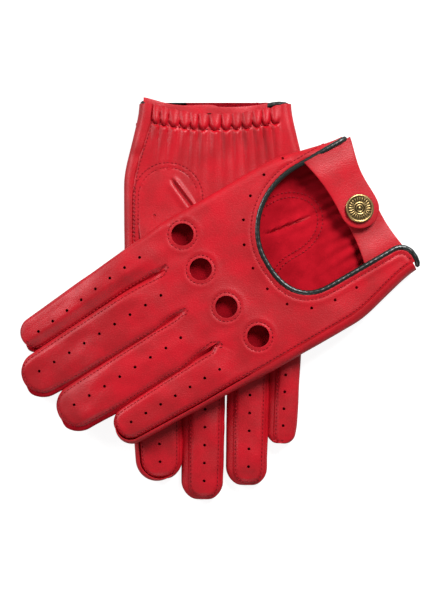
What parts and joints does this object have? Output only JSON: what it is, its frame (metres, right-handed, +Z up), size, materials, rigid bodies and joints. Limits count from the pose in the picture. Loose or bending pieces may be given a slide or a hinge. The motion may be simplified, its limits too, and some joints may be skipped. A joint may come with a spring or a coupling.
{
  "type": "leather driving gloves",
  "caption": "Pair of driving gloves laid crossed, one palm up and one palm down, with knuckle holes, a piped keyhole back and a snap strap at the wrist.",
  "frame": {"origin": "on the table, under the middle of the pair's outline", "axes": "+Z up from the table; +Y from the lower glove's fingertips to its cuff; +X towards the upper glove's cuff"},
  "size_m": [0.209, 0.213, 0.0239],
  "materials": {
    "leather": "fine grained, soft sheen",
    "lining": "suede side of the same leather",
    "piping": "smooth black binding",
    "brass": "antiqued",
    "elastic": "woven elastic, sewn in"
  },
  "bodies": {
    "right_glove": {"right_back_panel": "leather", "right_palm_panel": "leather", "right_thumb": "leather", "right_strap_anchor": "leather", "right_snap_stud": "brass", "right_snap_post": "brass", "right_keyhole_piping": "piping", "right_wrist_elastic": "elastic", "right_fourchette_index_middle": "leather", "right_fourchette_middle_ring": "leather", "right_fourchette_ring_little": "leather", "right_knuckle_facing_index": "lining", "right_knuckle_facing_middle": "lining", "right_knuckle_facing_ring": "lining", "right_knuckle_facing_little": "lining"},
    "left_glove": {"left_back_panel": "leather", "left_palm_panel": "leather", "left_thumb": "leather", "left_strap_anchor": "leather", "left_snap_stud": "brass", "left_snap_post": "brass", "left_keyhole_piping": "piping", "left_wrist_elastic": "elastic", "left_fourchette_index_middle": "leather", "left_fourchette_middle_ring": "leather", "left_fourchette_ring_little": "leather", "left_knuckle_facing_index": "lining", "left_knuckle_facing_middle": "lining", "left_knuckle_facing_ring": "lining", "left_knuckle_facing_little": "lining"},
    "right_strap": {"right_strap_tab": "leather", "right_snap_cap": "brass", "right_snap_socket": "brass"},
    "left_strap": {"left_strap_tab": "leather", "left_snap_cap": "brass", "left_snap_socket": "brass"}
  },
  "joints": [
    {"name": "left_glove_lift", "type": "slide", "parent": "right_glove", "child": "left_glove", "axis": [0, 0, 1], "range_m": [0, 0.08]},
    {"name": "left_strap_open", "type": "hinge", "parent": "left_glove", "child": "left_strap", "pos_m": [0.05608, 0.07526, 0.02068], "axis": [-0.8416, -0.4859, 0.236], "range_deg": [0, 110]},
    {"name": "right_strap_open", "type": "hinge", "parent": "right_glove", "child": "right_strap", "pos_m": [-0.03717, 0.09103, 0.0022], "axis": [0, 1, 0], "range_deg": [0, 110]}
  ]
}
